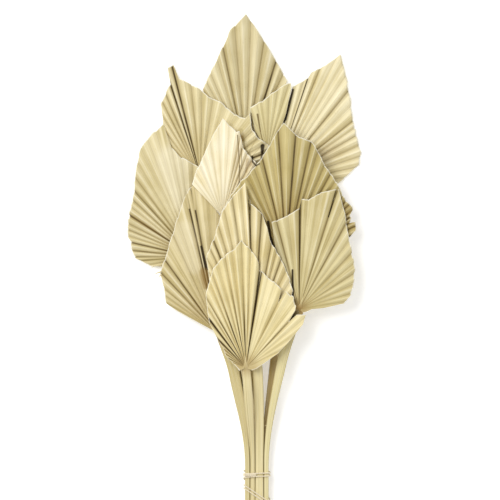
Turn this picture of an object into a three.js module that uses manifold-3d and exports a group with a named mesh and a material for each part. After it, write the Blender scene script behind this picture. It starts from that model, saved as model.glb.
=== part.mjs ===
// A bunch of dried fan palm spears, lying on its back on a table.
// Eleven fan leaves, each cut to a spear shape and growing on its own flat stem, overlap like shingles.
// Their stems run together into one bundle, which a length of twine holds.
// Units are millimetres. +X is to the right, +Y runs from the cut stems to the leaf tips, +Z is up.

import * as THREE from "three";
import Module from "manifold-3d";

const wasm = await Module();
wasm.setup();

// Driving dimensions of a blade
const BLADE_THICKNESS = 1.0;
const BLADE_INNER_RADIUS = 4;
const BLADE_STEPS = 3;
const FULL_PLEAT = 5;
const CORNER_REACH = 0.8;
const FOLD_SOFTENING = 220;
const SPLIT_OVERSHOOT = 12;
const SPLIT_HALF_HEIGHT = 60;

// Driving dimensions of the stems and of the bundle, whose tie is at y = 0
const STEM_THICKNESS = 3.2;
const STEM_STEPS = 7;
const STEM_SWELL_END = 0.75;
const STEM_TIP_SHARE = 0.55;
const STEM_EASE = 0.36;
const REST_MARGIN = 6;
const STEM_REACH = 6;
const STEM_SINK = 0.7;
const ROW_PITCH = 3.6;
const BOTTOM_ROW = 4.1;
const BUNDLE_CENTRE_X = 8.3;
const BUNDLE_START = 10;
const BUNDLE_HALF_WIDTH = 15.6;
const BUNDLE_MIDDLE_Z = 9.7;
const BUNDLE_HALF_DEPTH = 8.6;

// Driving dimensions of the twine
const TWINE_RADIUS = 0.8;
const TWINE_SIDES = 6;
const TWINE_STEPS = 112;
const TWINE_START = 5.2;
const TWINE_PITCH = 3.7;
const TWINE_TURNS = 4.3;
const TWINE_LEVEL_TURNS = 2;
const TWINE_DROP = 17;
const TWINE_LEAN = 11;
const TWINE_SQUARENESS = 8;

const radians = THREE.MathUtils.degToRad;

// The leaves, from the lowest to the topmost. Angles are clockwise from +Y, seen from above.
//   hub      where the blade meets its stem
//   slope    rise of the blade per millimetre towards +X and +Y
//   bend     how much that slope changes per millimetre
//   depth    depth of the folds, as rise per millimetre of radius close to the hub
//   rim      the cut edge, as angle and radius, from the left edge round to the right edge
//   valleys  angles of the folds that dip; a ridge stands midway between two of them
//   splits   torn folds, as angle, radius where the tear ends, and width in degrees
//   stem     x and row in the bundle, width there, breadth near the blade, where it was cut,
//            a point that it passes, and the stretch of y that it rests on
const LEAVES = [
  {
    name: "leaf_top",
    hub: [-4.8, 380.4, 4.5],
    slope: [0, -0.003],
    bend: [0, 0],
    depth: 0.03,
    rim: [[-50, 40], [-42, 62], [-36, 82], [-32, 99], [-19.5, 117], [-7, 155], [0, 174], [8, 145],
      [18, 121], [28, 106], [30.4, 81], [37, 57], [46, 44]],
    valleys: [-46, -39, -32.5, -27.3, -22.5, -16.3, -11.7, -4.9, 2, 8.8, 17.2, 24, 31, 38],
    splits: [],
    stem: { x: 4.8, row: 0, width: 9.4, broad: 9.6, end: -46, way: [4.8, 100], rest: [42, 72] },
    colour: 0xd3c798,
  },
  {
    name: "leaf_upper_right",
    hub: [26.4, 348, 4.5],
    slope: [-0.012, 0],
    bend: [0, 0],
    depth: 0.026,
    rim: [[8, 44], [9.6, 79], [12, 121], [18.6, 136], [19.2, 144], [24, 158], [27.8, 178],
      [33, 162], [41.6, 141], [51.6, 125], [62.4, 116], [70, 114], [77, 107], [84.5, 88],
      [92, 74], [98, 48]],
    valleys: [12.5, 16.9, 19.3, 22.4, 26.8, 30.3, 34, 39, 45, 51, 55.5, 59.5, 65.6, 72, 78, 85, 92],
    splits: [],
    stem: { x: 16.2, row: 0, width: 9.4, broad: 9.6, end: -52, way: [34.5, 150] },
    colour: 0xe6d9b0,
  },
  {
    name: "leaf_upper_left",
    hub: [-58.8, 355.2, 8.2],
    slope: [0.08, 0.01],
    bend: [0, 0],
    depth: 0.03,
    rim: [[-52, 44], [-42, 66], [-35, 80], [-28, 103], [-19.7, 117], [-17.8, 120],
      [-16.8, 140], [-13.6, 142], [-12.4, 124], [-1.3, 109], [5.6, 99], [14.6, 95.5],
      [21.8, 90.5], [32.4, 87.4], [36, 89.8], [36.6, 98.3], [45, 86.5], [53.1, 84], [63, 84.8],
      [66.5, 79.8], [68, 67.3], [70.5, 76], [75, 78], [80, 60]],
    valleys: [-46, -42.8, -37, -31.2, -26.5, -22.5, -18, -14.4, -6, 0.6, 8.6, 18.8, 28, 37, 47, 55,
      62, 68, 74],
    splits: [],
    stem: { x: -0.6, row: 1, width: 9.2, broad: 9.4, end: -50, way: [-9.5, 112] },
    colour: 0xdccfa2,
  },
  {
    name: "leaf_top_small",
    hub: [21.6, 387.6, 9.3],
    slope: [0, 0],
    bend: [0, 0],
    depth: 0.022,
    rim: [[-32, 30], [-22, 58], [-7, 62], [3, 70], [12, 81], [18.2, 88], [21, 83.5],
      [28, 50], [33, 28]],
    valleys: [-28, -23, -15, -7, 1, 9, 17, 25],
    splits: [],
    stem: { x: 9.0, row: 1, width: 9.2, broad: 9.4, end: -44, way: [9.4, 125] },
    colour: 0xd8cda0,
  },
  {
    name: "leaf_left",
    hub: [-67.2, 261.6, 12.3],
    slope: [0.115, 0.01],
    bend: [0, 0],
    depth: 0.026,
    rim: [[-111, 36], [-101, 54], [-91, 71], [-84, 76], [-77, 78], [-73, 84], [-64, 89],
      [-57, 93], [-44, 105], [-32, 130], [-26, 145], [-19, 152], [-16, 157], [-12, 130],
      [-8, 122], [2.5, 109], [13, 92], [22, 66], [28, 36]],
    valleys: [-106, -100, -94, -90, -84, -76.3, -72, -67.5, -63, -56.5, -51.5, -47, -42, -36.5, -31,
      -26.5, -21.5, -17, -12, -7, -1, 6, 14, 22],
    splits: [],
    stem: { x: -1.4, row: 2, width: 8.6, broad: 9.6, end: -47, way: [-17, 110] },
    colour: 0xe0d4a9,
  },
  {
    name: "leaf_left_low",
    hub: [-38.4, 170.4, 18.5],
    slope: [0.09, 0.035],
    bend: [0, -0.00012],
    depth: 0.02,
    rim: [[-61.8, 37], [-61.4, 59], [-60.2, 72.7], [-50.2, 84.6], [-43.6, 98], [-35, 110],
      [-20.7, 142], [-15.7, 160], [-12.9, 172], [-9.5, 181], [-5, 165], [1.4, 140], [5, 90]],
    valleys: [-60, -54.5, -49.8, -43.4, -36, -30, -24.6, -19.3, -12.7, -9.6, -4, 2],
    splits: [],
    stem: { x: -3.1, row: 3, width: 5.6, broad: 13, end: -52, way: [-18.5, 120] },
    colour: 0xdfd3a8,
  },
  {
    name: "leaf_pale",
    hub: [-32.4, 309.6, 25],
    slope: [-0.06, 0],
    bend: [0, -0.00006],
    depth: 0.02,
    rim: [[-43.5, 54], [-39, 57], [-26.6, 67], [-15.7, 80], [-7, 99], [0, 118], [4.4, 109.5],
      [8.7, 103.2], [10.8, 105.7], [13.5, 95], [16.8, 85.2], [24, 79.5], [31.4, 76], [34.6, 73],
      [38, 44]],
    valleys: [-38, -31, -24, -17, -9.5, -2.2, 5.2, 12.2, 15.7, 21, 27, 33],
    splits: [],
    stem: { x: 8.4, row: 2, width: 9, broad: 9.4, end: -50 },
    colour: 0xf1e6c6,
  },
  {
    name: "leaf_right_middle",
    hub: [43.2, 262.8, 29],
    slope: [0, 0],
    bend: [0, -0.00006],
    depth: 0.03,
    rim: [[-57, 88], [-56, 94], [-42, 98.5], [-32, 104.5], [-25, 107], [-13.6, 122], [-8, 135],
      [-3.6, 151], [-1, 159.6], [2.3, 151], [6, 143.5], [12.3, 141], [17, 131], [23, 119],
      [38.5, 104.5], [43.3, 99.6], [47.4, 97], [51.9, 99.4], [55.5, 97.4], [57.3, 92], [60.2, 90],
      [62.6, 87.2], [63.6, 92], [66.8, 91.8], [70.2, 88.4], [72.7, 82.6], [74.5, 75], [80, 50]],
    valleys: [-50, -44, -38, -32, -26.5, -20, -12.8, -8, -3.3, 4.5, 12.6, 17.6, 23, 28.4, 33.5, 38,
      42.5, 47, 51, 55, 58.8, 62.7, 67, 72, 77],
    splits: [],
    stem: { x: 17.9, row: 2, width: 8.6, broad: 8.4, end: -49, way: [27, 125] },
    colour: 0xcdbf8a,
  },
  {
    name: "leaf_right",
    hub: [58.8, 199.2, 36],
    slope: [0, 0],
    bend: [-0.00006, -0.0001],
    depth: 0.024,
    rim: [[-17.5, 109], [-10.6, 111], [0.4, 121], [1, 131], [4.7, 132], [10.3, 141.6],
      [18, 151], [25.6, 127], [33.5, 106.5], [44.5, 91], [54, 83], [66, 71], [75, 63.5],
      [82.6, 55], [83.9, 45], [87.5, 30], [90, 16], [115, 8.5], [132, 6.4]],
    valleys: [-14.4, -7, 0.5, 5, 11, 17.6, 23, 28.7, 36, 43, 50, 57, 65, 73, 81, 90],
    splits: [[0.5, 62, 0.8], [17.6, 116, 1]],
    stem: { x: 19.6, row: 3, width: 5.6, broad: 12, end: -51, way: [37.5, 133] },
    colour: 0xd9cda4,
  },
  {
    name: "leaf_centre",
    hub: [3.6, 164.4, 39.6],
    slope: [0, 0],
    bend: [0, -0.00004],
    depth: 0.026,
    rim: [[-38, 84], [-30, 112], [-22, 127], [-17, 142], [-13.8, 156], [-8.4, 172],
      [-2.6, 187], [-1.2, 161], [4, 151], [7.2, 134], [9.8, 119], [16.4, 106], [24.3, 93.5],
      [40, 75], [50, 52]],
    valleys: [-34, -29.7, -25.6, -21.7, -17, -12.5, -7.8, -4.6, -1.5, 4.7, 11, 15.2, 19.6, 26, 33, 41],
    splits: [[-1.5, 128, 0.9]],
    stem: { x: 11.3, row: 3, width: 9.8, broad: 12.5, end: -48, way: [9.3, 123] },
    colour: 0xe4d5a6,
  },
  {
    name: "leaf_front",
    hub: [-4.8, 129.6, 46.2],
    slope: [0, 0],
    bend: [-0.00008, -0.0001],
    depth: 0.032,
    rim: [[-115, 9.3], [-95, 10.5], [-76, 14.7], [-64.6, 22.4], [-59, 29.5], [-51, 34], [-45, 48],
      [-39.4, 70], [-29.4, 98], [-23.5, 111], [-18, 125], [-12.4, 134], [-6.8, 141], [-2.8, 149],
      [1.5, 140], [5, 136], [7, 127], [8, 118], [11.5, 114], [17.4, 108], [24.2, 102.8],
      [26.5, 87], [27.5, 103.1], [33.7, 101.4], [36.1, 97.9], [39.2, 94.2], [40.8, 89.3],
      [43, 74.5], [43.7, 86.9], [48.7, 95.2], [53, 85.1], [57.9, 62.8], [65.9, 42.9], [77, 22.5],
      [95, 13], [114, 8.3]],
    valleys: [-69, -62, -56, -50, -45, -37.3, -32.5, -28.7, -24, -19.7, -15, -10.6, -6.6, -2, 2.5,
      8.6, 14, 19.5, 25.8, 32, 38, 43.2, 50, 57, 64],
    splits: [[8.6, 42, 0.9]],
    stem: { x: 3.1, row: 3, width: 5.6, broad: 10.6, end: -46, way: [-1.5, 88] },
    colour: 0xe6d8ac,
  },
];

// A closed mesh as a solid, turned to face out.
function solidFrom(points, triangles) {
  const make = (corners) => new wasm.Manifold(new wasm.Mesh({
    numProp: 3,
    vertProperties: new Float32Array(points.flatMap((p) => [p.x, p.y, p.z])),
    triVerts: new Uint32Array(corners.flat()),
  }));
  const solid = make(triangles);
  return solid.volume() > 0 ? solid : make(triangles.map(([a, b, c]) => [a, c, b]));
}

// A solid as a mesh with flat faces.
function meshFrom(solid, name, colour, roughness) {
  const { vertProperties, triVerts } = solid.getMesh();
  const geometry = new THREE.BufferGeometry();
  geometry.setAttribute("position", new THREE.BufferAttribute(vertProperties, 3));
  geometry.setIndex(new THREE.BufferAttribute(triVerts, 1));
  geometry.computeVertexNormals();
  const material = new THREE.MeshStandardMaterial({ color: colour, roughness, metalness: 0 });
  const mesh = new THREE.Mesh(geometry, material);
  mesh.name = name;
  return mesh;
}

// The distance from the hub to the cut edge at an angle: the edge is straight between rim points.
function rimRadius(rim, angle) {
  const i = Math.max(1, rim.findIndex(([a]) => a >= angle - 1e-9));
  const [[a0, r0], [a1, r1]] = [rim[i - 1], rim[i]];
  const [before, after] = [radians(angle - a0), radians(a1 - angle)];
  return (r0 * r1 * Math.sin(radians(a1 - a0))) / (r0 * Math.sin(before) + r1 * Math.sin(after));
}

// A blade's folds as [angle, height]: valleys below 0 and ridges above, shallower where they crowd.
// A fold that comes close to a corner of the rim runs to that corner.
function foldLines({ valleys, rim }) {
  const folds = [];
  const add = (angle, side, gap) => {
    const corner = rim.find(([a]) => Math.abs(a - angle) < CORNER_REACH);
    folds.push([corner ? corner[0] : angle, side * Math.min(1, gap / FULL_PLEAT)]);
  };
  const gaps = valleys.slice(1).map((v, i) => v - valleys[i]);
  add(valleys[0] - gaps[0] / 2, 1, gaps[0]);
  valleys.forEach((v, i) => {
    const gap = gaps[i] ?? gaps[i - 1];
    add(v, -1, Math.min(gap, gaps[i - 1] ?? gap));
    add(v + gap / 2, 1, gap);
  });
  return folds;
}

// The height of the folds at an angle: straight facets between the fold lines.
function foldSide(folds, angle) {
  const i = folds.findIndex(([a]) => a >= angle);
  if (i <= 0) return folds[i < 0 ? folds.length - 1 : 0][1];
  const [[a0, s0], [a1, s1]] = [folds[i - 1], folds[i]];
  return s0 + ((s1 - s0) * (angle - a0)) / (a1 - a0);
}

// A point on a blade's upper face.
function bladePoint(leaf, angle, radius, side) {
  const dx = radius * Math.sin(radians(angle));
  const dy = radius * Math.cos(radians(angle));
  const fold = (side * leaf.depth * radius) / (1 + radius / FOLD_SOFTENING);
  const rise = leaf.slope[0] * dx + leaf.slope[1] * dy
    + leaf.bend[0] * dx * dx + leaf.bend[1] * dy * dy;
  return new THREE.Vector3(leaf.hub[0] + dx, leaf.hub[1] + dy, leaf.hub[2] + rise + fold);
}

// The pleated blade: a fan of flat facets between its folds, the same on both faces.
function bladeSolid(leaf) {
  const folds = foldLines(leaf);
  const corners = leaf.rim.map(([a]) => a);
  const inside = folds.map(([a]) => a).filter((a) => a > corners[0] && a < corners.at(-1));
  const angles = [...new Set([...corners, ...inside])].sort((a, b) => a - b);
  const top = [];
  angles.forEach((angle) => {
    const reach = rimRadius(leaf.rim, angle) - BLADE_INNER_RADIUS;
    for (let j = 0; j <= BLADE_STEPS; j++) {
      const radius = BLADE_INNER_RADIUS + (reach * j) / BLADE_STEPS;
      top.push(bladePoint(leaf, angle, radius, foldSide(folds, angle)));
    }
  });
  const down = new THREE.Vector3(0, 0, -BLADE_THICKNESS);
  const points = [...top, ...top.map((p) => p.clone().add(down))];
  const at = (k, j) => k * (BLADE_STEPS + 1) + j;
  const triangles = [];
  const wall = (a, b) => triangles.push([a, b, b + top.length], [a, b + top.length, a + top.length]);
  const last = angles.length - 1;
  for (let k = 0; k < last; k++) {
    for (let j = 0; j < BLADE_STEPS; j++) {
      const [a, b, c, d] = [at(k, j), at(k + 1, j), at(k + 1, j + 1), at(k, j + 1)];
      triangles.push([a, b, c], [a, c, d]);
      triangles.push([a, c, b].map((i) => i + top.length), [a, d, c].map((i) => i + top.length));
    }
    wall(at(k + 1, 0), at(k, 0));
    wall(at(k, BLADE_STEPS), at(k + 1, BLADE_STEPS));
  }
  for (let j = 0; j < BLADE_STEPS; j++) {
    wall(at(0, j), at(0, j + 1));
    wall(at(last, j + 1), at(last, j));
  }
  return solidFrom(points, triangles);
}

// The wedge that a torn fold opens, from the end of the tear out past the rim.
function splitSolid(leaf, [angle, from, width]) {
  const beyond = rimRadius(leaf.rim, angle) + SPLIT_OVERSHOOT;
  const spot = (a, r, z) => new THREE.Vector3(
    leaf.hub[0] + r * Math.sin(radians(a)), leaf.hub[1] + r * Math.cos(radians(a)), z);
  const corners = [[angle, from], [angle - width / 2, beyond], [angle + width / 2, beyond]];
  const [low, high] = [leaf.hub[2] - SPLIT_HALF_HEIGHT, leaf.hub[2] + SPLIT_HALF_HEIGHT];
  const points = [low, high].flatMap((z) => corners.map(([a, r]) => spot(a, r, z)));
  const triangles = [[0, 2, 1], [3, 4, 5]];
  for (const [a, b] of [[0, 1], [1, 2], [2, 0]]) triangles.push([a, b, b + 3], [a, b + 3, a + 3]);
  return solidFrom(points, triangles);
}

// The flat section of a stem: across as a share of half the width, up as a share of the thickness.
const STEM_SECTION = [
  [-0.62, -0.5], [0.62, -0.5], [1, 0.04], [0.6, 0.42], [0, 0.5], [-0.6, 0.42], [-1, 0.04],
];

// The height of a stem's middle: level in the bundle and at its rest, then rising to its blade.
function stemHeight(leaf, y) {
  const { row, rest } = leaf.stem;
  const inBundle = BOTTOM_ROW + row * ROW_PITCH;
  const atHub = leaf.hub[2] - STEM_SINK;
  if (y >= leaf.hub[1]) return atHub + leaf.slope[1] * (y - leaf.hub[1]);
  const { lerp, smoothstep } = THREE.MathUtils;
  if (!rest) return lerp(inBundle, atHub, smoothstep(y, BUNDLE_START, leaf.hub[1]));
  const low = STEM_THICKNESS / 2;
  if (y < rest[1]) return lerp(inBundle, low, smoothstep(y, BUNDLE_START, rest[0]));
  return lerp(low, atHub, smoothstep(y, rest[1], leaf.hub[1]));
}

// The line that a stem follows, from inside its blade through its way point to its cut end.
function stemPath(leaf) {
  const { x, end, way, rest } = leaf.stem;
  const hub = new THREE.Vector2(leaf.hub[0], leaf.hub[1]);
  const tie = new THREE.Vector2(x, BUNDLE_START);
  const via = way ? new THREE.Vector2(...way) : hub.clone().lerp(tie, 0.5);
  const fromHub = via.clone().sub(hub).normalize();
  const down = new THREE.Vector2(0, -1);
  const path = [hub.clone().addScaledVector(fromHub, -STEM_REACH), hub];
  const bend = (from, to, leave, arrive, steps) => {
    const reach = from.distanceTo(to) * STEM_EASE;
    const near = from.clone().addScaledVector(leave, reach);
    const far = to.clone().addScaledVector(arrive, -reach);
    path.push(...new THREE.CubicBezierCurve(from, near, far, to).getPoints(steps).slice(1));
  };
  const through = tie.clone().sub(hub).normalize();
  bend(hub, via, fromHub, through, STEM_STEPS);
  bend(via, tie, through, down, STEM_STEPS);
  path.push(new THREE.Vector2(x, end));
  const level = path.map((p) => new THREE.Vector3(p.x, p.y, stemHeight(leaf, p.y)));
  if (!rest) return level;
  const clear = level.filter((p) => p.y < rest[0] - REST_MARGIN || p.y > rest[1] + REST_MARGIN);
  const spots = [rest[1] + REST_MARGIN, rest[1], rest[0], rest[0] - REST_MARGIN];
  const added = spots.map((y) => new THREE.Vector3(x, y, STEM_THICKNESS / 2));
  return [...clear, ...added].sort((p, q) => q.y - p.y);
}

// The places along a stem where its section stands, with its heading and width there.
function stemStations(leaf) {
  const { width, broad } = leaf.stem;
  const path = stemPath(leaf);
  return path.map((point, i) => {
    const before = path[Math.max(0, i - 1)];
    const after = path[Math.min(path.length - 1, i + 1)];
    const share = (point.y - BUNDLE_START) / (leaf.hub[1] - BUNDLE_START);
    const swell = THREE.MathUtils.smoothstep(share, 0, STEM_SWELL_END);
    const full = THREE.MathUtils.lerp(width, broad, swell);
    const tip = i === 0 ? STEM_TIP_SHARE : 1;
    const heading = after.clone().sub(before);
    return { point, heading, width: full * tip, thickness: STEM_THICKNESS * tip };
  });
}

// A flat stem swept along its stations, with its section kept level from side to side.
function stemSolid(leaf) {
  const stations = stemStations(leaf);
  const sides = STEM_SECTION.length;
  const points = stations.flatMap(({ point, heading, width, thickness }) => {
    const across = new THREE.Vector3(-heading.y, heading.x, 0).normalize();
    const up = heading.clone().normalize().cross(across);
    return STEM_SECTION.map(([u, v]) => point.clone()
      .addScaledVector(across, (u * width) / 2).addScaledVector(up, v * thickness));
  });
  const triangles = [];
  const last = (stations.length - 1) * sides;
  for (let i = 0; i < stations.length - 1; i++) {
    for (let k = 0; k < sides; k++) {
      const [a, b] = [i * sides + k, i * sides + ((k + 1) % sides)];
      triangles.push([a, b, b + sides], [a, b + sides, a + sides]);
    }
  }
  for (let k = 1; k < sides - 1; k++) triangles.push([0, k + 1, k], [last, last + k, last + k + 1]);
  return solidFrom(points, triangles);
}

// One leaf as it grew: its blade and its stem are one piece.
function leafMesh(leaf) {
  let solid = bladeSolid(leaf);
  for (const split of leaf.splits) solid = solid.subtract(splitSolid(leaf, split));
  return meshFrom(solid.add(stemSolid(leaf)), leaf.name, leaf.colour, 0.85);
}

// The way that the twine takes round the bundle: level turns, then leaning ones nearer the cut ends.
class TwineRoute extends THREE.Curve {
  getPoint(share, target = new THREE.Vector3()) {
    const turns = TWINE_TURNS * share;
    const angle = Math.PI * 2 * turns + Math.PI * 0.9;
    const [c, s] = [Math.cos(angle), Math.sin(angle)];
    const power = TWINE_SQUARENESS;
    const size = (Math.abs(c) ** power + Math.abs(s) ** power) ** (-1 / power);
    const change = THREE.MathUtils.smoothstep(turns, TWINE_LEVEL_TURNS - 0.2, TWINE_LEVEL_TURNS + 0.6);
    const down = turns * TWINE_PITCH + change * TWINE_DROP + change * TWINE_LEAN * size * c;
    return target.set(
      BUNDLE_CENTRE_X + BUNDLE_HALF_WIDTH * size * c,
      TWINE_START - down,
      BUNDLE_MIDDLE_Z + BUNDLE_HALF_DEPTH * size * s);
  }
}

// The twine, one strand from end to end.
function twineMesh() {
  const strand = new THREE.Shape();
  for (let k = 0; k < TWINE_SIDES; k++) {
    const a = (k / TWINE_SIDES) * Math.PI * 2;
    strand[k ? "lineTo" : "moveTo"](TWINE_RADIUS * Math.cos(a), TWINE_RADIUS * Math.sin(a));
  }
  strand.closePath();
  const geometry = new THREE.ExtrudeGeometry(strand, { steps: TWINE_STEPS, extrudePath: new TwineRoute() });
  const material = new THREE.MeshStandardMaterial({ color: 0xf0e6cf, roughness: 0.9, metalness: 0 });
  const mesh = new THREE.Mesh(geometry, material);
  mesh.name = "twine";
  return mesh;
}

// The bunch, moved so that the origin is under its middle, on the surface that it lies on.
const bunch = new THREE.Group();
bunch.add(...LEAVES.map(leafMesh), twineMesh());
const box = new THREE.Box3().setFromObject(bunch, true);
const middle = box.getCenter(new THREE.Vector3());
bunch.position.set(-middle.x, -middle.y, -box.min.z);

const part = new THREE.Group();
part.add(bunch);

export default part;
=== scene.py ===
# %% [markdown]
# A tied bunch of dried fan palm spears, seen from straight above as it lies on a table.
#
# The measured model comes first. It already holds the size, the place and the order of every leaf, so
# each piece made here takes over one of its solids and stays where that solid is. The part's finish is
# what this script adds: thin pleated blades, fibres, creases, torn folds and a spun tie.

# %% Load the measured model
import math
import bpy
import numpy as np
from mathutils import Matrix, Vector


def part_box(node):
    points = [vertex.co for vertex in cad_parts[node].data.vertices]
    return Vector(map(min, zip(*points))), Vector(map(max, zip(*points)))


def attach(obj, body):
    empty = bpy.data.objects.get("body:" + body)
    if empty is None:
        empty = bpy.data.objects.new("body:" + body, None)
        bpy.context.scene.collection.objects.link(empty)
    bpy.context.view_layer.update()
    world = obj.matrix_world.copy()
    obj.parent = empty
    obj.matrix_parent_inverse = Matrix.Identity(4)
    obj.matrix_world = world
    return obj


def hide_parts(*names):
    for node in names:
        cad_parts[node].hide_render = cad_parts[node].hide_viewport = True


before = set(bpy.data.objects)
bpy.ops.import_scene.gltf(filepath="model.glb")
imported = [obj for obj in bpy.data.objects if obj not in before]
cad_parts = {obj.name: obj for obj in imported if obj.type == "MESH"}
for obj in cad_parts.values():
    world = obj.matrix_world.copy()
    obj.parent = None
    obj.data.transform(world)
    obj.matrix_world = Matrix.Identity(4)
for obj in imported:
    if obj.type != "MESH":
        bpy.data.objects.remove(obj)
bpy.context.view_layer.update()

# %% [markdown]
# The leaves are easiest to describe in millimetres round the tie: x to the right, y from the tie
# towards the tips, z up from the table. Two solids say how far that is from the model's own origin:
# the twine is centred on the bundle, and the lowest stem starts at a known place.

# %% Place
MM = 0.001
BUNDLE_CENTRE_X = 8.3
LOWEST_STEM_END = -46
twine_low, twine_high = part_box("twine")
stem_low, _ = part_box("leaf_top")
SHIFT = np.array([
    (twine_low.x + twine_high.x) / 2 / MM - BUNDLE_CENTRE_X,
    stem_low.y / MM - LOWEST_STEM_END,
    0.0,
])
print("shift from the tie to the model's origin, in mm:", SHIFT.round(2))

# %% [markdown]
# Dried palm is cream where the sun bleached it and olive or tan where the fibres run thick. Some of these
# tones also serve as painted shade and painted highlight, as marked below. A picture stores its colours on
# a curve, so each one is turned into the plain light that a shader works with.

# %% Tones
def colour(red, green, blue):
    """A colour from picture values, 0 to 255, to the light values that a shader takes."""
    linear = [c / 12.92 if c <= 0.04045 else ((c + 0.055) / 1.055) ** 2.4
              for c in (red / 255, green / 255, blue / 255)]
    return (*linear, 1.0)


# the pale of veins and dry cut edges, also painted highlight on ridges and cut edges
PALE = colour(255, 250, 232)
CREAM = colour(214, 198, 148)
# painted shade: brown for the valleys, and darker for the sharpest folds
VALLEY_SHADE = colour(108, 86, 36)
SHADOW = colour(58, 42, 14)
# olive for veins and stem stripes, also painted shade at the hub, on valley slopes and on stem sides
OLIVE = colour(160, 142, 88)
SPECK_BROWN = colour(120, 92, 48)
# brown stains and browned stems, also painted shade in patches
STAIN_AND_SHADE = colour(150, 118, 58)
# painted shadow in the gaps between leaves
GAP_SHADOW = colour(52, 40, 14)
print("pale ridges as light:", [round(c, 3) for c in PALE])
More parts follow.
